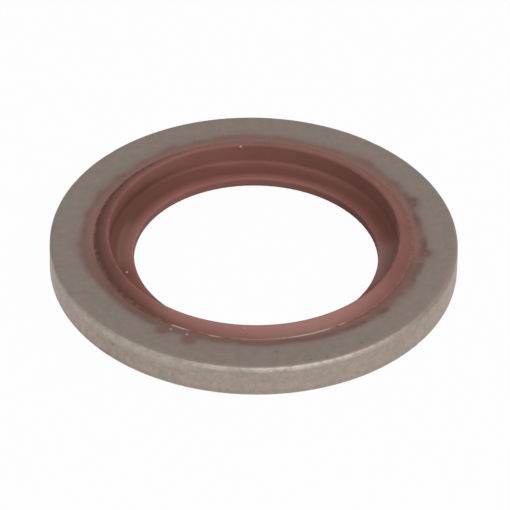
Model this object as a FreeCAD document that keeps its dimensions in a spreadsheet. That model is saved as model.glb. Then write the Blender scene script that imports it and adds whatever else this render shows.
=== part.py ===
import FreeCAD, Part
import math
import os
import Sketcher
from FreeCAD import Vector

# Self-centring bonded sealing washer for an M16 x 1.5 screw thread.
# A flat steel ring carries rubber moulded and cured onto its bore: a sealing bead stands
# proud of each face, and a thin web reaches in and grips the thread, so the washer centres itself.
# Millimetres. The origin is the centre of the ring, half way through its thickness, and +Z is its axis.

SIZES = [
    ("web_bore_diameter", 14.35, "Inside of the centring web, the root diameter of the thread"),
    ("web_reach", 1.34, "How far the web stands in from the wall below the crest"),
    ("web_thickness", 0.62, "Thickness of the centring web at its rim"),
    ("web_taper", 0.26, "How much the web thickens towards its root, above and below"),
    ("web_drop", 0.35, "How far the middle of the web lies below the middle of the ring"),
    ("web_root_flare", 0.15, "Flare where the web leaves the wall, above and below"),
    ("web_rim_break", 0.1, "Break on both inner edges of the web"),
    ("bead_width", 0.83, "Width of a bead, from its inner wall to its foot on the ring"),
    ("bead_height", 0.5, "How far a bead stands proud of the ring's face"),
    ("bead_crest_radius", 0.12, "Rounding of a bead's crest"),
    ("ring_width", 2.755, "Width of the steel ring, from its bore to its outside"),
    ("ring_thickness", 2.0, "Thickness of the strip that the ring is punched from"),
    ("ring_rim_radius", 0.18, "Rounding that tumbling leaves on both outer edges"),
    ("bore_chamfer", 0.1, "Break on both edges of the ring's bore, filled by the rubber"),
]

# Places on a sketch's lines and arcs, and the sketch's own origin.
START = 1
END = 2
CENTRE = 3
ORIGIN = (-1, START)

# Radii from the thread outwards, and heights from the middle of the ring.
WEB_BORE_R = "Sizes.web_bore_diameter / 2"
CREST_R = WEB_BORE_R + " + Sizes.web_reach"
FOOT_R = CREST_R + " + Sizes.bead_width"
BOND_R = FOOT_R + " - Sizes.bore_chamfer"
OUTER_R = BOND_R + " + Sizes.ring_width"
FACE_Z = "Sizes.ring_thickness / 2"
WEB_TOP_Z = "Sizes.web_thickness / 2 - Sizes.web_drop"
WEB_UNDER_Z = "-Sizes.web_thickness / 2 - Sizes.web_drop"
ROOT_TOP_Z = WEB_TOP_Z + " + Sizes.web_taper"
ROOT_UNDER_Z = WEB_UNDER_Z + " - Sizes.web_taper"
CREST_CENTRE_Z = FACE_Z + " + Sizes.bead_height - Sizes.bead_crest_radius"

doc = FreeCAD.newDocument("sealing_washer")


def add_sizes():
    """Keep the driving dimensions in a sheet, one named cell each."""
    sheet = doc.addObject("Spreadsheet::Sheet", "Sizes")
    for row, (alias, value, meaning) in enumerate(SIZES, start=1):
        sheet.set(f"A{row}", alias)
        sheet.set(f"B{row}", str(value))
        sheet.set(f"C{row}", meaning)
        sheet.setAlias(f"B{row}", alias)
    doc.recompute()
    return sheet


sizes = add_sizes()


def size(expression):
    """The present value of an expression in the sheet's sizes."""
    return float(sizes.evalExpression(expression))


def origin_part(body, role):
    """A plane or an axis of a body's own origin."""
    for feature in body.Origin.OriginFeatures:
        if feature.Role == role:
            return feature
    raise RuntimeError(f"{body.Label} has no {role}")


def add_body(name):
    body = doc.addObject("PartDesign::Body", name)
    body.Label = name
    return body


def add_sketch(body, name, plane):
    sketch = body.newObject("Sketcher::SketchObject", name)
    sketch.AttachmentSupport = [(origin_part(body, plane), "")]
    sketch.MapMode = "FlatFace"
    return sketch


def bind(sketch, name, kind, *places, to):
    """Add a named dimension to a sketch and tie it to an expression in the sizes."""
    index = sketch.addConstraint(Sketcher.Constraint(kind, *places, size(to)))
    sketch.renameConstraint(index, name)
    sketch.setExpression(f"Constraints.{name}", to)


def add_outline(sketch, starts):
    """Draw a closed outline of straight lines from the start of each. Returns the lines by name."""
    points = [Vector(size(x), size(y), 0) for x, y in starts.values()]
    lines = []
    for here, there in zip(points, points[1:] + points[:1]):
        lines.append(sketch.addGeometry(Part.LineSegment(here, there), False))
    for line, following in zip(lines, lines[1:] + lines[:1]):
        sketch.addConstraint(Sketcher.Constraint("Coincident", line, END, following, START))
    return dict(zip(starts, lines))


def add_revolution(body, sketch, name):
    turned = body.newObject("PartDesign::Revolution", name)
    turned.Profile = sketch
    turned.ReferenceAxis = (origin_part(body, "Z_Axis"), [""])
    turned.Angle = 360
    return turned


def round_edges(feature, radius, heights):
    """Names of a feature's round edges of one radius that lie at the given heights."""
    near = 0.001
    found = []
    for number, edge in enumerate(feature.Shape.Edges, start=1):
        if not isinstance(edge.Curve, Part.Circle):
            continue
        level = edge.Curve.Center.z
        if abs(edge.Curve.Radius - radius) < near and min(abs(level - z) for z in heights) < near:
            found.append(f"Edge{number}")
    if len(found) != len(heights):
        raise RuntimeError(f"{feature.Label}: {len(found)} edges of radius {radius}, not {len(heights)}")
    return found


def soften(body, base, kind, name, width, radius, heights):
    """Fillet or chamfer the round edges of one radius at the given heights."""
    doc.recompute()
    softened = body.newObject(kind, name)
    softened.Base = (base, round_edges(base, size(radius), [size(z) for z in heights]))
    softened.setExpression("Size" if kind == "PartDesign::Chamfer" else "Radius", width)
    return softened


def make_ring():
    """The steel ring: a punched blank with a broken bore and tumbled outer edges."""
    body = add_body("steel_ring")
    blank = add_sketch(body, "ring_blank", "XY_Plane")
    for name, radius in (("bore", BOND_R), ("outside", OUTER_R)):
        circle = blank.addGeometry(Part.Circle(Vector(), Vector(0, 0, 1), size(radius)), False)
        blank.addConstraint(Sketcher.Constraint("Coincident", circle, CENTRE, *ORIGIN))
        bind(blank, name, "Radius", circle, to=radius)
    plate = body.newObject("PartDesign::Pad", "ring_plate")
    plate.Profile = blank
    plate.SideType = "Symmetric"
    plate.setExpression("Length", "Sizes.ring_thickness")
    faces = (FACE_Z, "-" + FACE_Z)
    broken = soften(body, plate, "PartDesign::Chamfer", "bore_break", "Sizes.bore_chamfer", BOND_R, faces)
    soften(body, broken, "PartDesign::Fillet", "rim_rounding", "Sizes.ring_rim_radius", OUTER_R, faces)
    return body


def make_core(body):
    """The rubber on the bore, between the two faces, with the centring web on its inner side."""
    sketch = add_sketch(body, "core_section", "XZ_Plane")
    line = add_outline(sketch, {
        "web_rim": (WEB_BORE_R, WEB_UNDER_Z),
        "web_top": (WEB_BORE_R, WEB_TOP_Z),
        "upper_wall": (CREST_R, ROOT_TOP_Z),
        "upper_seat": (CREST_R, FACE_Z),
        "upper_break": (FOOT_R, FACE_Z),
        "bond": (BOND_R, FACE_Z + " - Sizes.bore_chamfer"),
        "lower_break": (BOND_R, "-" + FACE_Z + " + Sizes.bore_chamfer"),
        "lower_seat": (FOOT_R, "-" + FACE_Z),
        "lower_wall": (CREST_R, "-" + FACE_Z),
        "web_underside": (CREST_R, ROOT_UNDER_Z),
    })
    for upright in ("web_rim", "upper_wall", "bond", "lower_wall"):
        sketch.addConstraint(Sketcher.Constraint("Vertical", line[upright]))
    for level in ("upper_seat", "lower_seat"):
        sketch.addConstraint(Sketcher.Constraint("Horizontal", line[level]))
    sketch.addConstraint(Sketcher.Constraint("PointOnObject", line["lower_wall"], START, line["upper_wall"]))
    web_low = (line["web_rim"], START)
    web_high = (line["web_rim"], END)
    bond_high = (line["bond"], START)
    bond_low = (line["bond"], END)
    upper_foot = (line["upper_seat"], END)
    lower_foot = (line["lower_seat"], START)
    for name, place, radius in (
        ("web_bore", web_low, WEB_BORE_R),
        ("wall", (line["upper_wall"], START), CREST_R),
        ("bond_wall", bond_high, BOND_R),
        ("upper_foot", upper_foot, FOOT_R),
        ("lower_foot", lower_foot, FOOT_R),
    ):
        bind(sketch, name, "DistanceX", *ORIGIN, *place, to=radius)
    for name, low, high, height in (
        ("upper_face", ORIGIN, upper_foot, FACE_Z),
        ("lower_face", lower_foot, ORIGIN, FACE_Z),
        ("web_level", lower_foot, web_low, FACE_Z + WEB_UNDER_Z),
        ("web_height", web_low, web_high, "Sizes.web_thickness"),
        ("upper_taper", web_high, (line["upper_wall"], START), "Sizes.web_taper"),
        ("lower_taper", (line["web_underside"], START), web_low, "Sizes.web_taper"),
        ("upper_chamfer", bond_high, upper_foot, "Sizes.bore_chamfer"),
        ("lower_chamfer", lower_foot, bond_low, "Sizes.bore_chamfer"),
    ):
        bind(sketch, name, "DistanceY", *low, *high, to=height)
    return add_revolution(body, sketch, "core")


def make_upper_bead(body):
    """The upper bead: a steep inner wall, a rounded crest and a slope down to the ring's face."""
    sketch = add_sketch(body, "bead_section", "XZ_Plane")
    radius = size("Sizes.bead_crest_radius")
    foot = Vector(size(FOOT_R), size(FACE_Z), 0)
    corner = Vector(size(CREST_R), size(FACE_Z), 0)
    middle = Vector(size(CREST_R) + radius, size(CREST_CENTRE_Z), 0)
    # The slope runs from the foot and touches the crest's arc on its outer side.
    reach = middle - foot
    slope = math.atan2(reach.y, reach.x) - math.asin(radius / reach.Length)
    touch = middle + Vector(math.sin(slope), -math.cos(slope), 0) * radius
    top_of_wall = Vector(corner.x, middle.y, 0)
    seat = sketch.addGeometry(Part.LineSegment(corner, foot), False)
    flank = sketch.addGeometry(Part.LineSegment(foot, touch), False)
    arc = Part.ArcOfCircle(Part.Circle(middle, Vector(0, 0, 1), radius), slope - math.pi / 2, math.pi)
    crest = sketch.addGeometry(arc, False)
    wall = sketch.addGeometry(Part.LineSegment(top_of_wall, corner), False)
    sketch.addConstraint(Sketcher.Constraint("Coincident", seat, END, flank, START))
    sketch.addConstraint(Sketcher.Constraint("Tangent", flank, END, crest, START))
    sketch.addConstraint(Sketcher.Constraint("Tangent", crest, END, wall, START))
    sketch.addConstraint(Sketcher.Constraint("Coincident", wall, END, seat, START))
    sketch.addConstraint(Sketcher.Constraint("Horizontal", seat))
    sketch.addConstraint(Sketcher.Constraint("Vertical", wall))
    bind(sketch, "wall", "DistanceX", *ORIGIN, seat, START, to=CREST_R)
    bind(sketch, "face", "DistanceY", *ORIGIN, seat, START, to=FACE_Z)
    bind(sketch, "width", "DistanceX", seat, START, seat, END, to="Sizes.bead_width")
    bind(sketch, "crest_radius", "Radius", crest, to="Sizes.bead_crest_radius")
    bind(sketch, "crest_middle", "DistanceY", *ORIGIN, crest, CENTRE, to=CREST_CENTRE_Z)
    return add_revolution(body, sketch, "upper_bead")


def make_seal():
    """The rubber moulding: core and web, a bead on each face, flared web roots and broken web edges."""
    body = add_body("rubber_seal")
    make_core(body)
    upper = make_upper_bead(body)
    doc.recompute()
    beads = body.newObject("PartDesign::Mirrored", "lower_bead")
    beads.Originals = [upper]
    beads.MirrorPlane = (origin_part(body, "XY_Plane"), [""])
    body.Tip = beads
    chamfer = "PartDesign::Chamfer"
    roots = (ROOT_TOP_Z, ROOT_UNDER_Z)
    rims = (WEB_TOP_Z, WEB_UNDER_Z)
    flared = soften(body, beads, chamfer, "root_flare", "Sizes.web_root_flare", CREST_R, roots)
    soften(body, flared, chamfer, "rim_break", "Sizes.web_rim_break", WEB_BORE_R, rims)
    return body


def check(pieces):
    """Stop unless every object computed and every piece is one valid solid."""
    for item in doc.Objects:
        if "Invalid" in item.State or "Error" in item.State:
            raise RuntimeError(f"{item.Label} did not compute: {item.State}")
    for piece in pieces:
        shape = piece.Shape
        if shape.isNull() or not shape.isValid() or len(shape.Solids) != 1:
            raise RuntimeError(f"{piece.Label} is not one valid solid")


def write(pieces):
    os.makedirs("parts", exist_ok=True)
    for piece in pieces:
        box = piece.Shape.BoundBox
        piece.Shape.exportStep(f"parts/{piece.Label}.step")
        print(f"{piece.Label}: {piece.Shape.Volume:.3f} mm3, z {box.ZMin:.3f} to {box.ZMax:.3f}")


pieces = [make_ring(), make_seal()]
doc.recompute()
check(pieces)
write(pieces)
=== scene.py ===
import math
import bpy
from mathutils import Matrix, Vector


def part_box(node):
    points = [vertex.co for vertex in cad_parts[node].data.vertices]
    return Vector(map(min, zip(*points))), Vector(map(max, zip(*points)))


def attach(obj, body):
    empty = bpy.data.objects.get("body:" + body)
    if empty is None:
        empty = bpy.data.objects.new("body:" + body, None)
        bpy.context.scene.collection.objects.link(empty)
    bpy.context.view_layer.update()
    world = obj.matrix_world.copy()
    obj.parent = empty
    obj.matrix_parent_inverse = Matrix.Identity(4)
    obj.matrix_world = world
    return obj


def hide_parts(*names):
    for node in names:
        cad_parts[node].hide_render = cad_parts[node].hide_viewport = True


bl_info = {
    "name": "Bonded sealing washer",
    "version": (1, 0, 0),
    "blender": (4, 5, 0),
    "location": "3D View > Sidebar > Washer",
    "description": "Dresses a self-centring bonded sealing washer: tumbled steel ring and moulded rubber seal",
    "category": "Add Mesh",
}

import bmesh
import bpy
from bpy.props import FloatProperty, FloatVectorProperty, IntProperty, PointerProperty
from mathutils import Matrix, Vector

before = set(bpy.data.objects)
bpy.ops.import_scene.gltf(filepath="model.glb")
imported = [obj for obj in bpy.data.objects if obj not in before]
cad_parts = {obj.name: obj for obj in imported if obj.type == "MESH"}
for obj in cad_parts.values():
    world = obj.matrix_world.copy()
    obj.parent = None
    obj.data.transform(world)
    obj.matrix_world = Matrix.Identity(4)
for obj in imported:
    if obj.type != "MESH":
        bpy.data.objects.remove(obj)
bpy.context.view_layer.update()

MM = 0.001
RING = "steel_ring"
SEAL = "rubber_seal"
RING_LOW, RING_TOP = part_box(RING)
SEAL_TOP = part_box(SEAL)[1]

# Small marks on the washer. Each has an azimuth in degrees from +X, a radius in mm and a height in mm.
PITS = [(-82.2, 10.48, 1.0), (-56.2, 11.35, 1.0), (-68.2, 11.59, 1.0), (-73.0, 11.56, 1.0)]
BLOTS = [(-121.4, 9.95, 1.0), (-111.2, 10.1, 1.0), (-175.5, 10.0, 1.0), (-6.0, 10.1, 1.0), (22.0, 10.05, 1.0)]
CRUMBS = [
    (-118.9, 9.78, 1.0), (-112.8, 9.76, 1.0), (-164.5, 7.71, -0.05), (96.0, 8.51, 1.36), (-93.0, 8.78, 1.37),
]


def linear(hex_colour):
    """An sRGB hex colour as linear red, green and blue."""
    parts = [int(hex_colour[i:i + 2], 16) / 255 for i in (1, 3, 5)]
    return tuple(v / 12.92 if v <= 0.04045 else ((v + 0.055) / 1.055) ** 2.4 for v in parts)


def length(name, millimetres, description):
    """A size that a user can change, shown as a length."""
    return FloatProperty(
        name=name, description=description, default=millimetres * MM, min=0, unit="LENGTH", precision=6
    )


def colour(name, hex_colour, description):
    """A colour that a user can change."""
    return FloatVectorProperty(
        name=name, description=description, default=linear(hex_colour), min=0, max=1, size=3, subtype="COLOR"
    )


class WasherSizes(bpy.types.PropertyGroup):
    """Radii, heights and surface relief of the washer."""

    bore_radius: length("Ring bore radius", 9.245, "Where the rubber is bonded to the steel")
    bore_chamfer: length("Bore chamfer", 0.1, "Break on both edges of the ring's bore")
    rim_rounding: length("Rim rounding", 0.24, "Rounding of the ring's upper outer edge, where the die rolled it")
    lower_rim_rounding: length("Lower rim rounding", 0.12, "Rounding of the ring's lower outer edge")
    rim_wave: length("Rim wave", 0.03, "How deep tumbling has knocked the outer edges")
    rim_wave_length: length("Rim wave length", 0.9, "Length of the knocks along the outer edges")
    dent_depth: length("Dent depth", 0.02, "Depth of the small pits in the steel")
    film_radius: length("Film radius", 9.93, "How far the primer and flash reach over the steel")
    film_raggedness: length("Film raggedness", 0.15, "How far the film's border wanders")
    film_thickness: length("Film thickness", 0.012, "Thickness of the primer and flash")
    film_retreat: length("Film retreat", 0.27, "How far the film is wiped back at the front")
    web_bore_radius: length("Web bore radius", 7.165, "Inside of the centring web")
    web_top: length("Web top drop", 0.04, "Depth of the web's top below the ring's middle")
    web_underside: length("Web underside drop", 0.66, "Depth of the web's underside below the ring's middle")
    web_flat_radius: length("Web flat radius", 7.95, "Where the web begins to thicken towards its root")
    web_flare: length("Web flare", 0.27, "How much the web thickens at its root, above and below")
    web_flare_rounding: length("Web flare rounding", 0.8, "Rounding where the flare begins")
    web_rim_rounding: length("Web rim rounding", 0.15, "Rounding of the web's inner edges")
    web_shift: length("Web shift", 0.15, "How far the web's rim lies off the middle, to the right")
    web_root_rounding: length("Web root rounding", 0.22, "Fillet where the web meets the wall")
    crest_radius: length("Crest radius", 8.495, "Radius of the wall below the crest of a bead")
    crest_rounding: length("Crest rounding", 0.15, "Rounding of a bead's crest")
    shoulder_radius: length("Bead shoulder radius", 9.11, "Where a bead's slope is fullest")
    shoulder_height: length("Bead shoulder height", 0.255, "Height of that place above the ring's face")
    shoulder_rounding: length("Bead shoulder rounding", 1.2, "Rounding of a bead's slope")
    foot_radius: length("Bead foot radius", 9.345, "Where a bead's slope meets the ring's face")
    foot_rounding: length("Foot rounding", 0.1, "Hollow rounding of a bead's foot")
    flash_radius: length("Flash radius", 9.43, "Edge of the thin flash round a bead's foot")
    flash_height: length("Flash height", 0.045, "Height of that edge above the ring's face")
    flash_rounding: length("Flash rounding", 0.02, "Rounding of that edge")
    flow_wave: length("Flow wave", 0.012, "Unevenness that moulding leaves along the rubber's edges")
    flow_wave_length: length("Flow wave length", 1.6, "Length of that unevenness")
    crumb_size: length("Crumb size", 0.095, "Radius of the pale crumbs on the washer")
    ring_divisions: IntProperty(name="Ring divisions", description="Faces round the ring", default=1040, min=64)
    seal_divisions: IntProperty(name="Seal divisions", description="Faces round the seal", default=640, min=64)


class WasherColours(bpy.types.PropertyGroup):
    """Colours of the washer's finishes."""

    steel: colour("Steel", "#AEA197", "Tumbled steel")
    steel_warm: colour("Warm steel", "#B4A098", "Pinkish patches in the steel")
    steel_green: colour("Green steel", "#A5A292", "Greenish patches that the passivation leaves")
    # Edge steel is partly polish on worn edges and partly a painted highlight along the front edge.
    edge_polish_and_highlight: colour("Edge steel", "#D4CEC2", "Steel polished bright on worn edges")
    steel_pit: colour("Pits", "#8A8077", "Dark pits in the steel")
    film: colour("Film", "#8F665B", "Primer and flash on the steel")
    # The film border colour is real residue along the border, and painted shade beside the rubber.
    border_residue_and_shade: colour("Film border", "#653F3B", "Dark residue along the film's border and beside the rubber")
    stain: colour("Stain", "#74584F", "Brown stain that fades outwards from the film")
    rubber: colour("Rubber", "#89564D", "Red-brown fluoroelastomer")
    rubber_dark: colour("Dark rubber", "#7B483F", "Darker flow marks in the rubber")
    # Hollow rubber is painted shade in the hollow of the web.
    rubber_hollow_shade: colour("Hollow rubber", "#6D3F36", "Darker rubber in the hollow of the web")
    # This colour is painted shade, in the foot of the beads and deep in the hollow.
    painted_shade: colour("Grime", "#58342B", "Dark grime in the foot of the beads and deep in the hollow")
    # Pale rubber is real wear on the crest and the web's rim, and a painted sheen on the front slope.
    rubber_pale_and_sheen: colour("Pale rubber", "#A07067", "Paler rubber on the crest and the web's rim")
    # Dust colour is real for the crumbs; on the rubber it is a painted sheen at the sides and a painted highlight
    # along the flash edge.
    dust: colour("Dust", "#B8A69C", "Pale dust: the crumbs, the haze on the rubber and its scuffs")
    floor: colour("Floor", "#A8A8A8", "Floor under the washer")


def add(tree, kind, inputs=(), **settings):
    """Add a node. Its inputs are values, sockets or nodes, by name or number among those in use."""
    made = tree.nodes.new(kind)
    for name, value in settings.items():
        setattr(made, name, value)
    live = [socket for socket in made.inputs if socket.enabled]
    for key, value in dict(inputs).items():
        target = live[key] if isinstance(key, int) else next(s for s in live if s.name == key)
        if isinstance(value, bpy.types.Node):
            value = next(socket for socket in value.outputs if socket.enabled)
        if isinstance(value, bpy.types.NodeSocket):
            tree.links.new(value, target)
        else:
            target.default_value = value
    return made


def add_geometry_tree(name, inputs):
    """Start a geometry tree with named inputs. Returns the tree and its input node."""
    tree = bpy.data.node_groups.new(name, "GeometryNodeTree")
    tree.interface.new_socket("Geometry", in_out="OUTPUT", socket_type="NodeSocketGeometry")
    tree.interface.new_socket("Geometry", in_out="INPUT", socket_type="NodeSocketGeometry")
    for label, kind in inputs:
        tree.interface.new_socket(label, in_out="INPUT", socket_type="NodeSocket" + kind)
    return tree, add(tree, "NodeGroupInput")


def finish_tree(tree, geometry, material):
    """End a geometry tree: smooth faces, real geometry and one material."""
    smooth = add(tree, "GeometryNodeSetShadeSmooth", {"Geometry": geometry})
    real = add(tree, "GeometryNodeRealizeInstances", {"Geometry": smooth})
    painted = add(tree, "GeometryNodeSetMaterial", {"Geometry": real, "Material": material})
    add(tree, "NodeGroupOutput", {"Geometry": painted})


def turned_tree():
    """Tree that turns an outline round the axis and wears its surface: waves on the edges, dents and a film."""
    tree, given = add_geometry_tree("turned_and_worn", [
        ("Path Radius", "Float"), ("Divisions", "Int"), ("Seed", "Float"),
        ("Wave Height", "Float"), ("Wave Length", "Float"),
        ("Dent Depth", "Float"), ("Dent Spacing", "Float"), ("Dent Size", "Float"), ("Dent Share", "Float"),
        ("Pit Places", "Object"), ("Pit Size", "Float"),
        ("Film Radius", "Float"), ("Film Raggedness", "Float"),
        ("Film Thickness", "Float"), ("Film Retreat", "Float"),
        ("Blot Places", "Object"), ("Blot Size", "Float"), ("Web Shift", "Float"), ("Material", "Material"),
    ])
    value = given.outputs
    outline = add(tree, "GeometryNodeMeshToCurve", {"Mesh": value["Geometry"]})
    path = add(tree, "GeometryNodeCurvePrimitiveCircle", {
        "Resolution": value["Divisions"], "Radius": value["Path Radius"],
    })
    turned = add(tree, "GeometryNodeCurveToMesh", {"Curve": path, "Profile Curve": outline})
    place = add(tree, "GeometryNodeInputPosition")
    worn = add(tree, "GeometryNodeInputNamedAttribute", {"Name": "worn"}, data_type="FLOAT")

    # Knocks along the worn edges, always inwards.
    wave_scale = add(tree, "ShaderNodeMath", {0: 1.0, 1: value["Wave Length"]}, operation="DIVIDE")
    wave = add(tree, "ShaderNodeTexNoise", {
        "Vector": place, "W": value["Seed"], "Scale": wave_scale, "Detail": 2.0, "Roughness": 0.6,
    }, noise_dimensions="4D")
    knock = add(tree, "ShaderNodeMath", {0: wave, 1: worn}, operation="MULTIPLY")
    knock_depth = add(tree, "ShaderNodeMath", {0: knock, 1: value["Wave Height"]}, operation="MULTIPLY")

    # Small dents, one in some of the cells of a cell pattern, and a few at given places.
    dent_scale = add(tree, "ShaderNodeMath", {0: 1.0, 1: value["Dent Spacing"]}, operation="DIVIDE")
    cells = add(tree, "ShaderNodeTexVoronoi", {
        "Vector": place, "W": value["Seed"], "Scale": dent_scale,
    }, voronoi_dimensions="4D")
    chance = add(tree, "FunctionNodeSeparateColor", {"Color": cells.outputs["Color"]})
    threshold = add(tree, "ShaderNodeMath", {0: 1.0, 1: value["Dent Share"]}, operation="SUBTRACT")
    relative_size = add(tree, "ShaderNodeMath", {0: value["Dent Size"], 1: dent_scale}, operation="MULTIPLY")
    reach = add(tree, "ShaderNodeMapRange", {
        "Value": chance, "From Min": threshold, "To Max": relative_size,
    })
    within = add(tree, "ShaderNodeMath", {0: reach, 1: cells.outputs["Distance"]}, operation="SUBTRACT")
    dent = add(tree, "ShaderNodeMapRange", {
        "Value": within, "From Max": relative_size,
    }, interpolation_type="SMOOTHSTEP")
    pit_points = add(tree, "GeometryNodeObjectInfo", {"Object": value["Pit Places"]})
    pit_distance = add(tree, "GeometryNodeProximity", {
        "Geometry": pit_points.outputs["Geometry"],
    }, target_element="POINTS")
    pit = add(tree, "ShaderNodeMapRange", {
        "Value": pit_distance.outputs["Distance"], "From Max": value["Pit Size"], "To Min": 1.0, "To Max": 0.0,
    }, interpolation_type="SMOOTHSTEP")
    sunk = add(tree, "ShaderNodeMath", {0: dent, 1: pit}, operation="MAXIMUM")
    sunk_depth = add(tree, "ShaderNodeMath", {0: sunk, 1: value["Dent Depth"]}, operation="MULTIPLY")

    # A film of primer and flash lies inside a ragged circle, with blots beyond it. It is wiped back at the front.
    flattened, towards_front = (1, 1, 0), (-0.2, -1, 0)
    sloping_edge = 0.3 * MM
    flat_place = add(tree, "ShaderNodeVectorMath", {0: place, 1: flattened}, operation="MULTIPLY")
    radius = add(tree, "ShaderNodeVectorMath", {0: flat_place}, operation="LENGTH")
    # The border wanders over lengths of about 3 mm.
    ragged = add(tree, "ShaderNodeTexNoise", {
        "Vector": flat_place, "W": value["Seed"], "Scale": 0.35 / MM, "Detail": 2.0, "Roughness": 0.45,
    }, noise_dimensions="4D")
    wander = add(tree, "ShaderNodeMapRange", {
        "Value": ragged, "From Min": 0.3, "From Max": 0.7, "To Min": -1.0, "To Max": 1.0,
    }, clamp=False)
    border = add(tree, "ShaderNodeMath", {
        0: wander, 1: value["Film Raggedness"], 2: value["Film Radius"],
    }, operation="MULTIPLY_ADD")
    near = add(tree, "ShaderNodeVectorMath", {0: place, 1: towards_front}, operation="DOT_PRODUCT")
    retreat = add(tree, "ShaderNodeMapRange", {
        "Value": near.outputs["Value"], "From Min": 5 * MM, "From Max": 9 * MM, "To Max": value["Film Retreat"],
    }, interpolation_type="SMOOTHSTEP")
    border = add(tree, "ShaderNodeMath", {0: border, 1: retreat}, operation="SUBTRACT")
    inside = add(tree, "ShaderNodeMath", {0: border, 1: radius.outputs["Value"]}, operation="SUBTRACT")
    blot_points = add(tree, "GeometryNodeObjectInfo", {"Object": value["Blot Places"]})
    blot_distance = add(tree, "GeometryNodeProximity", {
        "Geometry": blot_points.outputs["Geometry"],
    }, target_element="POINTS")
    blot = add(tree, "ShaderNodeMath", {
        0: value["Blot Size"], 1: blot_distance.outputs["Distance"],
    }, operation="SUBTRACT")
    covered = add(tree, "ShaderNodeMath", {0: inside, 1: blot, 2: sloping_edge}, operation="SMOOTH_MAX")
    film_height = add(tree, "ShaderNodeMapRange", {
        "Value": covered, "From Max": sloping_edge, "To Max": value["Film Thickness"],
    }, interpolation_type="SMOOTHSTEP")
    covered_mm = add(tree, "ShaderNodeMath", {0: covered, 1: 1 / MM}, operation="MULTIPLY")

    lowered = add(tree, "ShaderNodeMath", {0: knock_depth, 1: sunk_depth}, operation="ADD")
    raised = add(tree, "ShaderNodeMath", {0: film_height, 1: lowered}, operation="SUBTRACT")
    away = add(tree, "GeometryNodeInputNormal")
    offset = add(tree, "ShaderNodeVectorMath", {0: away, "Scale": raised}, operation="SCALE")

    # The web's rim lies a little off the middle, and the web is stretched to reach it.
    aside = add(tree, "ShaderNodeMapRange", {
        "Value": radius.outputs["Value"], "From Min": 7.3 * MM, "From Max": 8.4 * MM,
        "To Min": value["Web Shift"], "To Max": 0.0,
    })
    shift = add(tree, "ShaderNodeCombineXYZ", {"X": aside})
    offset = add(tree, "ShaderNodeVectorMath", {0: offset, 1: shift}, operation="ADD")

    # The materials read where the pits are, how many mm inside the film's border a place is, and its radius.
    marked = turned
    for name, number in (("pit", sunk), ("film", covered_mm), ("radius", radius.outputs["Value"])):
        marked = add(tree, "GeometryNodeStoreNamedAttribute", {
            "Geometry": marked, "Name": name, "Value": number,
        }, data_type="FLOAT", domain="POINT")
    shaped = add(tree, "GeometryNodeSetPosition", {"Geometry": marked, "Offset": offset})
    finish_tree(tree, shaped, value["Material"])
    return tree


def crumb_tree():
    """Tree that sets a small uneven crumb on each point."""
    tree, given = add_geometry_tree("crumbs_on_points", [
        ("Crumb Size", "Float"), ("Seed", "Int"), ("Material", "Material"),
    ])
    value = given.outputs
    lump = add(tree, "GeometryNodeMeshIcoSphere", {"Radius": value["Crumb Size"], "Subdivisions": 4})
    place = add(tree, "GeometryNodeInputPosition")
    # Lumps of about 0.07 mm.
    uneven = add(tree, "ShaderNodeTexNoise", {"Vector": place, "Scale": 14 / MM, "Detail": 1.0})
    push = add(tree, "ShaderNodeMapRange", {
        "Value": uneven, "From Min": 0.3, "From Max": 0.7, "To Min": -0.45, "To Max": 0.45,
    })
    offset = add(tree, "ShaderNodeVectorMath", {0: place, "Scale": push}, operation="SCALE")
    shaped = add(tree, "GeometryNodeSetPosition", {"Geometry": lump, "Offset": offset})
    turn = add(tree, "FunctionNodeRandomValue", {
        "Min": (0, 0, 0), "Max": (math.tau, math.tau, math.tau), "Seed": value["Seed"],
    }, data_type="FLOAT_VECTOR")
    scale = add(tree, "FunctionNodeRandomValue", {
        "Min": (0.7, 0.7, 0.5), "Max": (1.2, 1.2, 0.8), "Seed": value["Seed"],
    }, data_type="FLOAT_VECTOR")
    crumbs = add(tree, "GeometryNodeInstanceOnPoints", {
        "Points": value["Geometry"], "Instance": shaped, "Rotation": turn, "Scale": scale,
    })
    finish_tree(tree, crumbs, value["Material"])
    return tree


def link(name, data):
    """Put new data into the scene as an object."""
    made = bpy.data.objects.new(name, data)
    bpy.context.scene.collection.objects.link(made)
    return made


def points_object(name, places):
    """An object of loose points at azimuth, radius and height."""
    mesh = bpy.data.meshes.new(name)
    points = []
    for azimuth, radius, height in places:
        turn = math.radians(azimuth)
        points.append(Vector((radius * math.cos(turn), radius * math.sin(turn), height)) * MM)
    mesh.from_pydata(points, [], [])
    return link(name, mesh)


def rounded_corner(before, corner, after, radius, steps=6):
    """Points of an arc that rounds a corner, or the corner itself."""
    if radius == 0:
        return [corner]
    back = (before - corner).normalized()
    on = (after - corner).normalized()
    half = back.angle(on) / 2
    middle = corner + (back + on).normalized() * radius / math.sin(half)
    start = corner + back * radius / math.tan(half) - middle
    end = corner + on * radius / math.tan(half) - middle
    sweep = start.angle_signed(end)
    return [middle + Matrix.Rotation(-sweep * i / steps, 2) @ start for i in range(steps + 1)]


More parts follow.
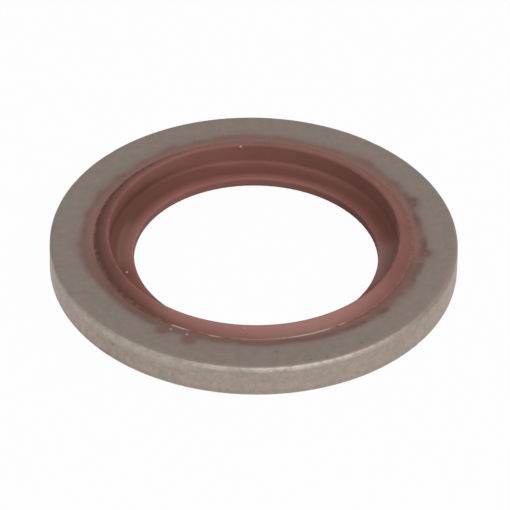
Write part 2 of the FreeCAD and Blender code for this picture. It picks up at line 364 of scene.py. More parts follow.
def outline_object(name, corners, bond_radius, spacing, worn_reach):
    """An outline from corners of radius, height, rounding and wear. Its runs are divided, but not the hidden bond.

    The corners run clockwise, so that the normals of the turned faces point outwards.
    """
    tolerance = 0.001 * MM
    places = [Vector((radius - bond_radius, height)) for radius, height, _, _ in corners]
    outline = []
    for i, (_, _, rounding, _) in enumerate(corners):
        outline += rounded_corner(places[i - 1], places[i], places[(i + 1) % len(places)], rounding)
    points = []
    for here, there in zip(outline, outline[1:] + outline[:1]):
        bonded = abs(here.x) + abs(there.x) < tolerance
        steps = 1 if bonded else max(1, round((there - here).length / spacing))
        points += [here.lerp(there, i / steps) for i in range(steps)]
    worn_places = [place for place, corner in zip(places, corners) if corner[3]]
    wear = [max(0, 1 - min((p - q).length for q in worn_places) / worn_reach) for p in points]
    mesh = bpy.data.meshes.new(name)
    edges = [(i, (i + 1) % len(points)) for i in range(len(points))]
    # Curve to Mesh turns a profile's Y downwards on a circle.
    mesh.from_pydata([(p.x, -p.y, 0) for p in points], edges, [])
    mesh.attributes.new("worn", "FLOAT", "POINT").data.foreach_set("value", wear)
    return link(name, mesh)


def grow(base, tree, values):
    """Run a tree on an object and keep the result as its plain mesh, with its faces turned outwards."""
    modifier = base.modifiers.new(tree.name, "NODES")
    modifier.node_group = tree
    for item in tree.interface.items_tree:
        if item.in_out == "INPUT" and item.name != "Geometry":
            modifier[item.identifier] = values[item.name]
    graph = bpy.context.evaluated_depsgraph_get()
    mesh = bpy.data.meshes.new_from_object(
        base.evaluated_get(graph), preserve_all_data_layers=True, depsgraph=graph
    )
    base.modifiers.remove(modifier)
    outward = bmesh.new()
    outward.from_mesh(mesh)
    bmesh.ops.recalc_face_normals(outward, faces=outward.faces)
    outward.to_mesh(mesh)
    outward.free()
    # The evaluated mesh brings an empty first material slot along.
    for i in reversed(range(len(mesh.materials))):
        if mesh.materials[i] is None:
            mesh.materials.pop(index=i)
    mesh.name = base.name
    base.data = mesh


def principled(name):
    """A new material with its shader node."""
    material = bpy.data.materials.new(name)
    material.use_nodes = True
    return material, material.node_tree, material.node_tree.nodes["Principled BSDF"]


def tumbled_steel(colours):
    """Mild steel, punched, tumbled and passivated: matt grey-beige, with fine grain, soft patches and dark pits."""
    material, tree, shader = principled("tumbled_steel")
    face = RING_TOP.z
    towards_front, towards_front_left = (-0.15, -1, 0), (-0.45, -0.9, 0)
    place = add(tree, "ShaderNodeTexCoord").outputs["Object"]
    x, y, z = add(tree, "ShaderNodeSeparateXYZ", {"Vector": place}).outputs
    worn, pit, film, radius = (
        add(tree, "ShaderNodeAttribute", attribute_name=name).outputs["Fac"]
        for name in ("worn", "pit", "film", "radius")
    )
    # Patches about 1.2 mm and 0.3 mm across from the passivation, and 0.5 mm across from the tumbling.
    broad = add(tree, "ShaderNodeTexNoise", {"Vector": place, "Scale": 1 / (1.2 * MM), "Detail": 3.0})
    small = add(tree, "ShaderNodeTexNoise", {"Vector": place, "Scale": 1 / (0.28 * MM), "Detail": 2.0})
    knocked = add(tree, "ShaderNodeTexNoise", {"Vector": place, "Scale": 1 / (0.5 * MM), "Detail": 3.0})
    # The grain is about 0.02 mm on the real steel, and is drawn at 0.1 mm so that it shows.
    grain = add(tree, "ShaderNodeTexNoise", {
        "Vector": place, "Scale": 1 / (0.1 * MM), "Detail": 4.0, "Roughness": 0.6,
    })
    warm = add(tree, "ShaderNodeMapRange", {"Value": broad, "From Min": 0.42, "From Max": 0.62})
    green = add(tree, "ShaderNodeMapRange", {"Value": small, "From Min": 0.45, "From Max": 0.65, "To Max": 0.45})
    speckle = add(tree, "ShaderNodeMapRange", {
        "Value": grain, "From Min": 0.3, "From Max": 0.7, "To Min": 0.92, "To Max": 1.08,
    })
    mottled = add(tree, "ShaderNodeMapRange", {
        "Value": knocked, "From Min": 0.3, "From Max": 0.7, "To Min": 0.95, "To Max": 1.05,
    })
    level = add(tree, "ShaderNodeMath", {0: speckle, 1: mottled}, operation="MULTIPLY")

    # The outer edge is paler in patches at the front, on the wall more than on the face: partly polish from wear,
    # partly a painted highlight that is kept to the front.
    front = add(tree, "ShaderNodeVectorMath", {0: place, 1: towards_front}, operation="DOT_PRODUCT")
    highlight_at_front = add(tree, "ShaderNodeMapRange", {
        "Value": front.outputs["Value"], "From Min": 5.5 * MM, "From Max": 10.5 * MM,
    })
    patchy = add(tree, "ShaderNodeMapRange", {
        "Value": knocked, "From Min": 0.36, "From Max": 0.6, "To Min": 0.4, "To Max": 0.85,
    })
    below_face = add(tree, "ShaderNodeMapRange", {
        "Value": z, "From Min": face - 0.03 * MM, "From Max": face - 0.12 * MM,
    })
    above_middle = add(tree, "ShaderNodeMapRange", {"Value": z, "From Max": 0.1 * MM})
    on_wall = add(tree, "ShaderNodeMath", {0: below_face, 1: above_middle}, operation="MULTIPLY")
    edge_start = add(tree, "ShaderNodeMapRange", {"Value": on_wall, "To Min": 0.66, "To Max": 0.27})
    edge_full = add(tree, "ShaderNodeMapRange", {"Value": on_wall, "To Min": 0.9, "To Max": 0.6})
    edge = add(tree, "ShaderNodeMapRange", {"Value": worn, "From Min": edge_start, "From Max": edge_full})
    # At the left a painted highlight runs down the wall.
    leftward = add(tree, "ShaderNodeMapRange", {
        "Value": x, "From Min": -2 * MM, "From Max": -5 * MM, "To Max": 0.7,
    })
    leftward = add(tree, "ShaderNodeMath", {0: leftward, 1: on_wall}, operation="MULTIPLY")
    highlight_run_down = add(tree, "ShaderNodeMapRange", {
        "Value": z, "From Min": 0.2 * MM, "From Max": 0.95 * MM, "To Max": leftward,
    })
    polish_and_highlight = add(tree, "ShaderNodeMath", {0: edge, 1: patchy}, operation="MULTIPLY")
    polish_and_highlight = add(tree, "ShaderNodeMath", {0: polish_and_highlight, 1: highlight_run_down}, operation="MAXIMUM")
    polish_and_highlight = add(tree, "ShaderNodeMath", {0: polish_and_highlight, 1: highlight_at_front}, operation="MULTIPLY")

    # The film lies on the steel near the rubber. Beyond its border a brown stain fades outwards.
    fringe = add(tree, "ShaderNodeMapRange", {
        "Value": broad, "From Min": 0.3, "From Max": 0.7, "To Min": -0.06, "To Max": 0.06,
    })
    inside = add(tree, "ShaderNodeMath", {0: film, 1: fringe}, operation="ADD")
    stain = add(tree, "ShaderNodeMapRange", {
        "Value": inside, "From Min": -0.95, "From Max": 0.05, "To Max": 0.5,
    }, interpolation_type="SMOOTHSTEP")
    thick = add(tree, "ShaderNodeMapRange", {
        "Value": knocked, "From Min": 0.35, "From Max": 0.65, "To Min": 0.95, "To Max": 0.6,
    })
    filmed = add(tree, "ShaderNodeMapRange", {
        "Value": inside, "From Min": -0.34, "From Max": 0.3, "To Max": thick,
    }, interpolation_type="SMOOTHSTEP")

    # Dark residue lies in blotches along the border, most on the right and least at the back. The blotches
    # are sparse at the back and close up towards the front left.
    off_border = add(tree, "ShaderNodeMath", {0: inside}, operation="ABSOLUTE")
    band = add(tree, "ShaderNodeMapRange", {
        "Value": off_border, "From Min": 0.45, "From Max": 0.05,
    }, interpolation_type="SMOOTHSTEP")
    rightward = add(tree, "ShaderNodeMapRange", {
        "Value": x, "From Min": -2 * MM, "From Max": 8 * MM, "To Min": 0.22, "To Max": 0.48,
    })
    front_left = add(tree, "ShaderNodeVectorMath", {0: place, 1: towards_front_left}, operation="DOT_PRODUCT")
    closed_up = add(tree, "ShaderNodeMapRange", {
        "Value": front_left.outputs["Value"], "From Min": 4 * MM, "From Max": 7 * MM, "To Min": 0.15,
    })
    blotchy = add(tree, "ShaderNodeMapRange", {
        "Value": broad, "From Min": 0.4, "From Max": 0.62, "To Min": closed_up,
    })
    off_back = add(tree, "ShaderNodeMapRange", {
        "Value": y, "From Min": 5 * MM, "From Max": 7.5 * MM, "To Min": 1.0, "To Max": 0.4,
    })
    residue = band
    for factor in (rightward, blotchy, off_back):
        residue = add(tree, "ShaderNodeMath", {0: residue, 1: factor}, operation="MULTIPLY")

    # Painted shade darkens the film beside the rubber, at the front left and the front right.
    off_middle = add(tree, "ShaderNodeMath", {0: x}, operation="ABSOLUTE")
    at_sides = add(tree, "ShaderNodeMapRange", {"Value": off_middle, "From Min": 4.5 * MM, "From Max": 7 * MM})
    before_middle = add(tree, "ShaderNodeMapRange", {"Value": y, "From Min": -0.5 * MM, "From Max": -2.5 * MM})
    painted_shade = add(tree, "ShaderNodeMapRange", {
        "Value": radius, "From Min": 9.4 * MM, "From Max": 9.95 * MM, "To Min": 0.45, "To Max": 0.0,
    })
    for factor in (at_sides, before_middle):
        painted_shade = add(tree, "ShaderNodeMath", {0: painted_shade, 1: factor}, operation="MULTIPLY")

    # From the bare steel up: each finish covers what lies under it; the edge's highlight and the shade beside the
    # rubber are painted.
    tone = add(tree, "ShaderNodeMix", {
        "Factor": warm, "A": (*colours.steel, 1), "B": (*colours.steel_warm, 1),
    }, data_type="RGBA")
    tone = add(tree, "ShaderNodeMix", {
        "Factor": green, "A": tone, "B": (*colours.steel_green, 1),
    }, data_type="RGBA")
    tone = add(tree, "ShaderNodeVectorMath", {0: tone, "Scale": level}, operation="SCALE")
    for cover, finish in (
        (polish_and_highlight, colours.edge_polish_and_highlight), (pit, colours.steel_pit), (stain, colours.stain), (filmed, colours.film),
        (residue, colours.border_residue_and_shade), (painted_shade, colours.border_residue_and_shade),
    ):
        tone = add(tree, "ShaderNodeMix", {"Factor": cover, "A": tone, "B": (*finish, 1)}, data_type="RGBA")

    covered = add(tree, "ShaderNodeMath", {0: filmed, 1: stain}, operation="MAXIMUM")
    metallic = add(tree, "ShaderNodeMapRange", {"Value": covered, "To Min": 1.0, "To Max": 0.15})
    roughness = add(tree, "ShaderNodeMapRange", {
        "Value": small, "From Min": 0.3, "From Max": 0.7, "To Min": 0.52, "To Max": 0.66,
    })
    roughness = add(tree, "ShaderNodeMath", {0: worn, 1: 0.14, 2: roughness}, operation="MULTIPLY_ADD")
    relief = add(tree, "ShaderNodeBump", {"Height": grain, "Distance": 0.012 * MM, "Strength": 0.6})
    tree.links.new(tone.outputs[2], shader.inputs["Base Color"])
    tree.links.new(metallic.outputs[0], shader.inputs["Metallic"])
    tree.links.new(roughness.outputs[0], shader.inputs["Roughness"])
    tree.links.new(relief.outputs[0], shader.inputs["Normal"])
    return material


def moulded_rubber(colours):
    """Fluoroelastomer, compression moulded and cured: satin red-brown with faint flow marks and a paler crest."""
    material, tree, shader = principled("moulded_fluoroelastomer")
    # Radii on the seal that its shades follow.
    web_rim, web_flat, crest, foot, flash = (r * MM for r in (7.2, 7.95, 8.5, 9.34, 9.395))
    side_to_side = (0.1, 1, 0)
    place = add(tree, "ShaderNodeTexCoord").outputs["Object"]
    x, y, z = add(tree, "ShaderNodeSeparateXYZ", {"Vector": place}).outputs
    off_middle = add(tree, "ShaderNodeMath", {0: x}, operation="ABSOLUTE")
    worn, radius = (
        add(tree, "ShaderNodeAttribute", attribute_name=name).outputs["Fac"] for name in ("worn", "radius")
    )
    # Flow marks about 1.8 mm long, mottling of 0.35 mm, and an eroded mould's texture drawn at 0.12 mm.
    flow = add(tree, "ShaderNodeTexNoise", {"Vector": place, "Scale": 1 / (1.8 * MM), "Detail": 3.0})
    mottle = add(tree, "ShaderNodeTexNoise", {"Vector": place, "Scale": 1 / (0.35 * MM), "Detail": 3.0})
    texture = add(tree, "ShaderNodeTexNoise", {
        "Vector": place, "Scale": 1 / (0.12 * MM), "Detail": 3.0, "Roughness": 0.6,
    })
    dark = add(tree, "ShaderNodeMapRange", {"Value": flow, "From Min": 0.45, "From Max": 0.65, "To Max": 0.6})

    # Painted shade darkens the hollow of the web, from its rim inwards. Along its root at the back the painted
    # shade is weaker:
    # a paler line that stands for a highlight and fades towards the sides. On the right the painted shade reaches
    # the web's rim.
    at_root = add(tree, "ShaderNodeMapRange", {
        "Value": y, "From Min": 5.5 * MM, "From Max": 8.4 * MM, "To Min": 0.9, "To Max": 0.25,
    })
    at_rim = add(tree, "ShaderNodeMapRange", {"Value": x, "From Min": 3 * MM, "From Max": 6 * MM, "To Max": 0.5})
    rise = add(tree, "ShaderNodeMapRange", {
        "Value": radius, "From Min": web_rim, "From Max": web_flat, "To Min": at_rim,
    }, interpolation_type="SMOOTHSTEP")
    fall = add(tree, "ShaderNodeMapRange", {
        "Value": radius, "From Min": crest - 0.14 * MM, "From Max": crest - 0.02 * MM,
        "To Min": 0.95, "To Max": at_root,
    }, interpolation_type="SMOOTHSTEP")
    # At the left the painted shade reaches up the wall. It ends below the crest.
    climb = add(tree, "ShaderNodeMapRange", {
        "Value": x, "From Min": -2 * MM, "From Max": -6 * MM, "To Max": 0.3 * MM,
    })
    climb_end = add(tree, "ShaderNodeMapRange", {
        "Value": x, "From Min": -2 * MM, "From Max": -6 * MM, "To Min": 0.4 * MM, "To Max": 1.2 * MM,
    })
    low = add(tree, "ShaderNodeMapRange", {
        "Value": z, "From Min": climb_end, "From Max": climb,
    }, interpolation_type="SMOOTHSTEP")
    below_crest = add(tree, "ShaderNodeMapRange", {
        "Value": radius, "From Min": crest + 0.03 * MM, "From Max": crest,
    })
    front_right = add(tree, "ShaderNodeMath", {0: x, 1: y}, operation="SUBTRACT")
    off_front_right = add(tree, "ShaderNodeMapRange", {
        "Value": front_right, "From Min": 3.5 * MM, "From Max": 8 * MM, "To Min": 1.0, "To Max": 0.45,
    })
    hollow = rise
    for factor in (fall, low, off_front_right, below_crest):
        hollow = add(tree, "ShaderNodeMath", {0: hollow, 1: factor}, operation="MULTIPLY")
    # The painted shade in the hollow is darkest low down at the back left.
    deep = add(tree, "ShaderNodeMapRange", {
        "Value": x, "From Min": -3.5 * MM, "From Max": -6.5 * MM, "To Max": 0.42,
    })
    at_back = add(tree, "ShaderNodeMapRange", {"Value": y, "From Min": 0.8 * MM, "From Max": 2.8 * MM})
    low_down = add(tree, "ShaderNodeMapRange", {"Value": z, "From Min": 0.7 * MM, "From Max": 0.3 * MM})
    for factor in (at_back, low_down, hollow):
        deep = add(tree, "ShaderNodeMath", {0: deep, 1: factor}, operation="MULTIPLY")

    # Painted shade sits in the foot of the beads, most on the left, away from the lamp.
    leftward = add(tree, "ShaderNodeMapRange", {
        "Value": x, "From Min": -3.4 * MM, "From Max": -6.2 * MM, "To Min": 0.25, "To Max": 0.95,
    })
    painted_shade = add(tree, "ShaderNodeMapRange", {
        "Value": radius, "From Min": 8.4 * MM, "From Max": foot, "To Max": leftward,
    })

    # The crest is paler where it is worn, and the wall and crest are paler at the back. On the front slope a
    # painted sheen makes the rubber paler.
    rubbed = add(tree, "ShaderNodeMapRange", {"Value": mottle, "From Min": 0.35, "From Max": 0.65, "To Max": 0.5})
    pale = add(tree, "ShaderNodeMath", {0: worn, 1: rubbed}, operation="MULTIPLY")
    pale_at_back = add(tree, "ShaderNodeMapRange", {
        "Value": radius, "From Min": crest, "From Max": crest + 0.1 * MM, "To Min": 0.32, "To Max": 0.05,
    })
    behind = add(tree, "ShaderNodeMapRange", {"Value": y, "From Max": 6 * MM})
    pale_at_back = add(tree, "ShaderNodeMath", {0: pale_at_back, 1: behind}, operation="MULTIPLY")
    pale_at_back = add(tree, "ShaderNodeMapRange", {"Value": hollow, "To Min": pale_at_back, "To Max": 0.0})
    pale = add(tree, "ShaderNodeMath", {0: pale, 1: pale_at_back}, operation="MAXIMUM")
    sheen_across = add(tree, "ShaderNodeMapRange", {
        "Value": x, "From Min": -7 * MM, "From Max": -4.5 * MM, "To Min": 0.2, "To Max": 0.9,
    })
    painted_sheen_front = add(tree, "ShaderNodeMapRange", {
        "Value": y, "From Min": -3.5 * MM, "From Max": -7 * MM, "To Max": sheen_across,
    })
    painted_sheen_front = add(tree, "ShaderNodeMapRange", {
        "Value": radius, "From Min": 8.7 * MM, "From Max": 9.4 * MM, "To Min": painted_sheen_front, "To Max": 0.0,
    })
    pale = add(tree, "ShaderNodeMath", {0: pale, 1: painted_sheen_front}, operation="MAXIMUM")

    # A painted sheen greys the wall and the web at both sides, most on the right.
    side_sheen = add(tree, "ShaderNodeMapRange", {
        "Value": off_middle, "From Min": 5 * MM, "From Max": 8 * MM,
    }, interpolation_type="SMOOTHSTEP")
    rightward = add(tree, "ShaderNodeMapRange", {
        "Value": x, "From Min": -8 * MM, "From Max": 8 * MM, "To Min": 0.12, "To Max": 0.2,
    })
    off_line = add(tree, "ShaderNodeVectorMath", {0: place, 1: side_to_side}, operation="DOT_PRODUCT")
    off_line = add(tree, "ShaderNodeMath", {0: off_line.outputs["Value"]}, operation="ABSOLUTE")
    near_line = add(tree, "ShaderNodeMapRange", {
        "Value": off_line, "From Min": 2.8 * MM, "From Max": 1.2 * MM,
    }, interpolation_type="SMOOTHSTEP")
    side_sheen_end = add(tree, "ShaderNodeMapRange", {
        "Value": x, "From Min": -4 * MM, "From Max": 4 * MM, "To Min": 8.15 * MM, "To Max": 8.6 * MM,
    })
    within = add(tree, "ShaderNodeMath", {0: side_sheen_end, 1: radius}, operation="SUBTRACT")
    within = add(tree, "ShaderNodeMapRange", {"Value": within, "From Max": 0.15 * MM})
    for factor in (rightward, near_line, within, below_crest):
        side_sheen = add(tree, "ShaderNodeMath", {0: side_sheen, 1: factor}, operation="MULTIPLY")

    # A painted highlight along the edge of the flash, at the front, shows as a fine light line.
    flash_edge_highlight = add(tree, "ShaderNodeMath", {0: radius, 1: flash, 2: 0.06 * MM}, operation="COMPARE")
    off_front = add(tree, "ShaderNodeMapRange", {
        "Value": off_middle, "From Min": 1 * MM, "From Max": 2.8 * MM, "To Min": 0.3, "To Max": 0.85,
    })
    broken = add(tree, "ShaderNodeMapRange", {"Value": flow, "From Min": 0.4, "From Max": 0.5, "To Max": off_front})
    highlight_at_front = add(tree, "ShaderNodeMapRange", {
        "Value": y, "From Min": -7.3 * MM, "From Max": -8 * MM, "To Max": broken,
    })
    flash_edge_highlight = add(tree, "ShaderNodeMath", {0: flash_edge_highlight, 1: highlight_at_front}, operation="MULTIPLY")

    # From the clean rubber up: each shade covers what lies under it. The hollow and the foot get painted shade, the
    # front slope and the sides painted sheen, the flash edge a painted highlight.
    tone = add(tree, "ShaderNodeMix", {
        "Factor": dark, "A": (*colours.rubber, 1), "B": (*colours.rubber_dark, 1),
    }, data_type="RGBA")
    for cover, shade in (
        (hollow, colours.rubber_hollow_shade), (deep, colours.painted_shade), (painted_shade, colours.painted_shade),
        (pale, colours.rubber_pale_and_sheen), (side_sheen, colours.dust), (flash_edge_highlight, colours.dust),
    ):
        tone = add(tree, "ShaderNodeMix", {"Factor": cover, "A": tone, "B": (*shade, 1)}, data_type="RGBA")

    # The beads left a polished part of the mould. The wall, the web and the foot of the beads, under its painted
    # shade, are duller.
    dull = add(tree, "ShaderNodeMapRange", {
        "Value": radius, "From Min": crest + 0.02 * MM, "From Max": crest + 0.2 * MM, "To Min": 0.72, "To Max": 0.4,
    })
    dull = add(tree, "ShaderNodeMath", {0: painted_shade, 1: 0.3, 2: dull}, operation="MULTIPLY_ADD")
    roughness = add(tree, "ShaderNodeMath", {0: mottle, 1: 0.16, 2: dull}, operation="MULTIPLY_ADD")
    relief = add(tree, "ShaderNodeBump", {"Height": texture, "Distance": 0.01 * MM, "Strength": 0.5})
    tree.links.new(tone.outputs[2], shader.inputs["Base Color"])
    tree.links.new(roughness.outputs[0], shader.inputs["Roughness"])
    tree.links.new(relief.outputs[0], shader.inputs["Normal"])
    return material


def dry_dust(colours):
    """Rubber and packing dust, rolled into crumbs: pale, dull and uneven."""
    material, tree, shader = principled("dry_dust")
    place = add(tree, "ShaderNodeTexCoord").outputs["Object"]
    uneven = add(tree, "ShaderNodeTexNoise", {"Vector": place, "Scale": 1 / (0.04 * MM)})
    shade = add(tree, "ShaderNodeMapRange", {"Value": uneven, "From Min": 0.3, "From Max": 0.7, "To Max": 0.4})
    tone = add(tree, "ShaderNodeMix", {
        "Factor": shade, "A": (*colours.dust, 1), "B": (*colours.rubber_pale_and_sheen, 1),
    }, data_type="RGBA")
    shader.inputs["Roughness"].default_value = 0.9
    tree.links.new(tone.outputs[2], shader.inputs["Base Color"])
    return material


class WASHER_OT_steel_ring(bpy.types.Operator):
    """Build the tumbled steel ring with its rounded rims, pits and film of primer"""

    bl_idname = "washer.steel_ring"
    bl_label = "Steel ring"

    def execute(self, context):
        sizes = context.scene.washer_sizes
        face = RING_TOP.z
        reach = min(-RING_LOW.x, -RING_LOW.y, RING_TOP.x, RING_TOP.y)
        bore = sizes.bore_radius
        land = bore + sizes.bore_chamfer
        seat = face - sizes.bore_chamfer
        ring = outline_object("tumbled_ring", [
            (bore, -seat, 0, False), (bore, seat, 0, False), (land, face, 0, False),
            (reach, face, sizes.rim_rounding, True), (reach, -face, sizes.lower_rim_rounding, True),
            (land, -face, 0, False),
        ], bond_radius=bore, spacing=0.088 * MM, worn_reach=0.45 * MM)
        pits = points_object("pit_places", PITS)
        blots = points_object("blot_places", BLOTS)
        grow(ring, turned_tree(), {
            "Path Radius": bore, "Divisions": sizes.ring_divisions, "Seed": 4.0,
            "Wave Height": sizes.rim_wave, "Wave Length": sizes.rim_wave_length,
            "Dent Depth": sizes.dent_depth, "Dent Spacing": 0.8 * MM, "Dent Size": 0.22 * MM, "Dent Share": 0.3,
            "Pit Places": pits, "Pit Size": 0.13 * MM,
            "Film Radius": sizes.film_radius, "Film Raggedness": sizes.film_raggedness,
            "Film Thickness": sizes.film_thickness, "Film Retreat": sizes.film_retreat,
            "Blot Places": blots, "Blot Size": 0.22 * MM, "Web Shift": 0.0,
            "Material": tumbled_steel(context.scene.washer_colours),
        })
        for helper in (pits, blots):
            bpy.data.objects.remove(helper)
        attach(ring, "root")
        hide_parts(RING)
        return {"FINISHED"}


class WASHER_OT_rubber_seal(bpy.types.Operator):
    """Build the moulded seal: a bead on each face, the wall on the bore and the centring web"""

    bl_idname = "washer.rubber_seal"
    bl_label = "Rubber seal"

    def execute(self, context):
        sizes = context.scene.washer_sizes
        face = RING_TOP.z
        crest = sizes.crest_radius
        bore = sizes.bore_radius
        seat = face - sizes.bore_chamfer
        # The slope of a bead leaves its full shoulder and touches the rounded crest.
        shoulder = Vector((sizes.shoulder_radius, face + sizes.shoulder_height))
        middle = Vector((crest + sizes.crest_rounding, SEAL_TOP.z - sizes.crest_rounding))
        reach = middle - shoulder
        slope = math.tan(math.atan2(reach.y, reach.x) - math.asin(sizes.crest_rounding / reach.length))
        peak = shoulder.y + (crest - shoulder.x) * slope
        # The foot lies a little lower than the edge of the flash.
        foot_height = 0.8 * sizes.flash_height
        flash = sizes.flash_radius
        land = bore + sizes.bore_chamfer
        upper_bead = [
            (crest, peak, sizes.crest_rounding, True),
            (shoulder.x, shoulder.y, sizes.shoulder_rounding, False),
            (sizes.foot_radius, face + foot_height, sizes.foot_rounding, False),
            (flash, face + sizes.flash_height, sizes.flash_rounding, True),
            (flash, face, 0, False), (land, face, 0, False), (bore, seat, 0, False),
        ]
        lower_bead = [(r, -z, rounding, worn) for r, z, rounding, worn in reversed(upper_bead)]
        web_bore = sizes.web_bore_radius
        top, underside, flare = -sizes.web_top, -sizes.web_underside, sizes.web_flare
        seal = outline_object("moulded_seal", [
            (web_bore, underside, sizes.web_rim_rounding, True),
            (web_bore, top, sizes.web_rim_rounding, True),
            (sizes.web_flat_radius, top, sizes.web_flare_rounding, False),
            (crest, top + flare, sizes.web_root_rounding, False),
            *upper_bead, *lower_bead,
            (crest, underside - flare, sizes.web_root_rounding, False),
            (sizes.web_flat_radius, underside, sizes.web_flare_rounding, False),
        ], bond_radius=bore, spacing=0.085 * MM, worn_reach=0.3 * MM)
        none = points_object("no_places", [])
        grow(seal, turned_tree(), {
            "Path Radius": bore, "Divisions": sizes.seal_divisions, "Seed": 9.0,
            "Wave Height": sizes.flow_wave, "Wave Length": sizes.flow_wave_length,
            "Dent Depth": 0.012 * MM, "Dent Spacing": 1.1 * MM, "Dent Size": 0.2 * MM, "Dent Share": 0.2,
            "Pit Places": none, "Pit Size": 0.0,
            "Film Radius": 0.0, "Film Raggedness": 0.0, "Film Thickness": 0.0, "Film Retreat": 0.0,
            "Blot Places": none, "Blot Size": 0.0, "Web Shift": sizes.web_shift,
            "Material": moulded_rubber(context.scene.washer_colours),
        })
        bpy.data.objects.remove(none)
        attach(seal, "root")
        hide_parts(SEAL)
        return {"FINISHED"}


class WASHER_OT_dust_crumbs(bpy.types.Operator):
    """Set the pale crumbs of dust that lie on the washer"""

    bl_idname = "washer.dust_crumbs"
    bl_label = "Dust crumbs"

    def execute(self, context):
        crumbs = points_object("dust_crumbs", CRUMBS)
        grow(crumbs, crumb_tree(), {
            "Crumb Size": context.scene.washer_sizes.crumb_size, "Seed": 3,
            "Material": dry_dust(context.scene.washer_colours),
        })
        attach(crumbs, "root")
        return {"FINISHED"}


def add_lamp(name, place, size, power):
    """A round soft lamp at a place, turned to the washer."""
    data = bpy.data.lights.new(name, "AREA")
    data.shape = "DISK"
    data.size = size
    data.energy = power
    lamp = link(name, data)
    lamp.location = place
    lamp.rotation_mode = "QUATERNION"
    lamp.rotation_quaternion = (-Vector(place)).to_track_quat("-Z", "Y")


def add_camera():
    """The camera: 38.4 degrees above the table, far off with a long lens, turned a degree and moved a little."""
    elevation, roll = math.radians(38.4), math.radians(0.96)
    distance = 400 * MM
    # In the picture of 510 by 510 pixels the ring's radius of 12 mm spans 204 pixels round this middle.
    frame_side = 510
    middle = (253.6, 252.72)
    pixels_per_metre = 204 / (12 * MM)
    sensor = 36
    back = Vector((0, -math.cos(elevation), math.sin(elevation)))
    level = Vector((1, 0, 0))
    upright = level.cross(-back)
    right = math.cos(roll) * level + math.sin(roll) * upright
    up = math.cos(roll) * upright - math.sin(roll) * level
    aside = (frame_side / 2 - middle[0]) / pixels_per_metre
    raised = (middle[1] - frame_side / 2) / pixels_per_metre
    data = bpy.data.cameras.new("camera")
    data.sensor_width = sensor
    data.lens = pixels_per_metre * distance / frame_side * sensor
    data.clip_start, data.clip_end = 0.01, 10
    camera = link("camera", data)
    stand = Matrix((right, up, back)).transposed().to_4x4()
    stand.translation = distance * back + aside * right + raised * up
    camera.matrix_world = stand
    bpy.context.scene.camera = camera


def white_card(colours):
    """White card under the washer: it looks white to the camera and in reflections, with a faint shadow."""
    material, tree, shader = principled("white_card")
    fibre_shade = 0.94
    whiteness = 0.98
    place = add(tree, "ShaderNodeTexCoord").outputs["Object"]
    fibre = add(tree, "ShaderNodeTexNoise", {"Vector": place, "Scale": 1 / (2 * MM), "Detail": 3.0})
    tone = add(tree, "ShaderNodeMix", {
        "Factor": fibre, "A": (*colours.floor, 1), "B": (*[v * fibre_shade for v in colours.floor], 1),
    }, data_type="RGBA")
    tree.links.new(tone.outputs[2], shader.inputs["Base Color"])
    shader.inputs["Roughness"].default_value = 0.9
    rays = add(tree, "ShaderNodeLightPath").outputs
    seen = add(tree, "ShaderNodeMath", {0: rays["Is Camera Ray"], 1: rays["Is Glossy Ray"]}, operation="MAXIMUM")
    seen = add(tree, "ShaderNodeMath", {0: seen, 1: rays["Is Transmission Ray"]}, operation="MAXIMUM")
    shining = add(tree, "ShaderNodeMath", {0: seen, 1: whiteness}, operation="MULTIPLY")
    white = add(tree, "ShaderNodeEmission", {"Strength": 1.0})
    mixed = add(tree, "ShaderNodeMixShader", {0: shining, 1: shader, 2: white})
    out = tree.nodes["Material Output"]
    tree.links.new(mixed.outputs[0], out.inputs["Surface"])
    return material


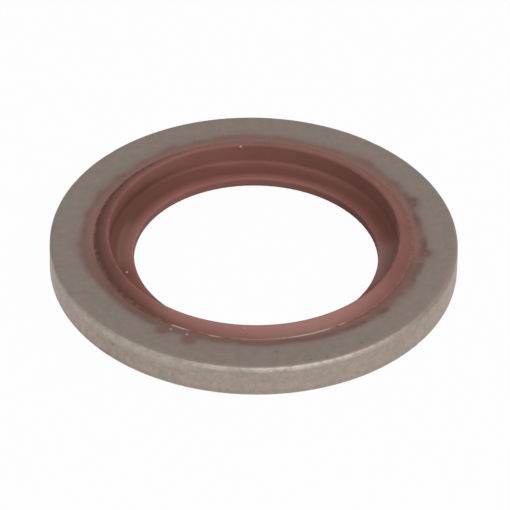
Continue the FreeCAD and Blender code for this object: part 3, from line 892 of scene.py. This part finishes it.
def plain_world(strength):
    """An even grey light from all round, which the camera sees as white."""
    world = bpy.data.worlds.new("plain_studio")
    bpy.context.scene.world = world
    world.use_nodes = True
    tree = world.node_tree
    shown = add(tree, "ShaderNodeLightPath").outputs["Is Camera Ray"]
    level = add(tree, "ShaderNodeMapRange", {"Value": shown, "To Min": strength, "To Max": 1.0})
    background = tree.nodes["Background"]
    background.inputs["Color"].default_value = (1, 1, 1, 1)
    tree.links.new(level.outputs[0], background.inputs["Strength"])


class WASHER_OT_stage(bpy.types.Operator):
    """Set the white card, the camera and the soft studio light"""

    bl_idname = "washer.stage"
    bl_label = "Stage"

    def execute(self, context):
        half = 0.5
        # The washer rests on its lower bead.
        ground = -SEAL_TOP.z
        mesh = bpy.data.meshes.new("white_card")
        corners = [(-half, -half, ground), (half, -half, ground), (half, half, ground), (-half, half, ground)]
        mesh.from_pydata(corners, [], [(0, 1, 2, 3)])
        mesh.materials.append(white_card(context.scene.washer_colours))
        link("white_card", mesh)
        plain_world(strength=0.48)
        add_lamp("key", place=(0.244, -0.271, 0.5), size=0.45, power=2.05)
        add_camera()
        context.scene.view_settings.view_transform = "Standard"
        return {"FINISHED"}


class WASHER_PT_pieces(bpy.types.Panel):
    """Lists the washer's pieces, sizes and colours"""

    bl_idname = "WASHER_PT_pieces"
    bl_label = "Sealing washer"
    bl_space_type = "VIEW_3D"
    bl_region_type = "UI"
    bl_category = "Washer"

    def draw(self, context):
        for piece in PIECES:
            self.layout.operator(piece.bl_idname)
        for group in (context.scene.washer_sizes, context.scene.washer_colours):
            box = self.layout.box()
            for name in group.bl_rna.properties.keys():
                if name not in ("rna_type", "name"):
                    box.prop(group, name)


PIECES = (WASHER_OT_steel_ring, WASHER_OT_rubber_seal, WASHER_OT_dust_crumbs, WASHER_OT_stage)
CLASSES = (WasherSizes, WasherColours, *PIECES, WASHER_PT_pieces)


def register():
    for made in CLASSES:
        bpy.utils.register_class(made)
    bpy.types.Scene.washer_sizes = PointerProperty(type=WasherSizes)
    bpy.types.Scene.washer_colours = PointerProperty(type=WasherColours)


def unregister():
    del bpy.types.Scene.washer_colours
    del bpy.types.Scene.washer_sizes
    for made in reversed(CLASSES):
        bpy.utils.unregister_class(made)


def main():
    """Build the washer and its stage."""
    register()
    bpy.ops.washer.steel_ring()
    bpy.ops.washer.rubber_seal()
    bpy.ops.washer.dust_crumbs()
    bpy.ops.washer.stage()


if __name__ == "__main__":
    main()
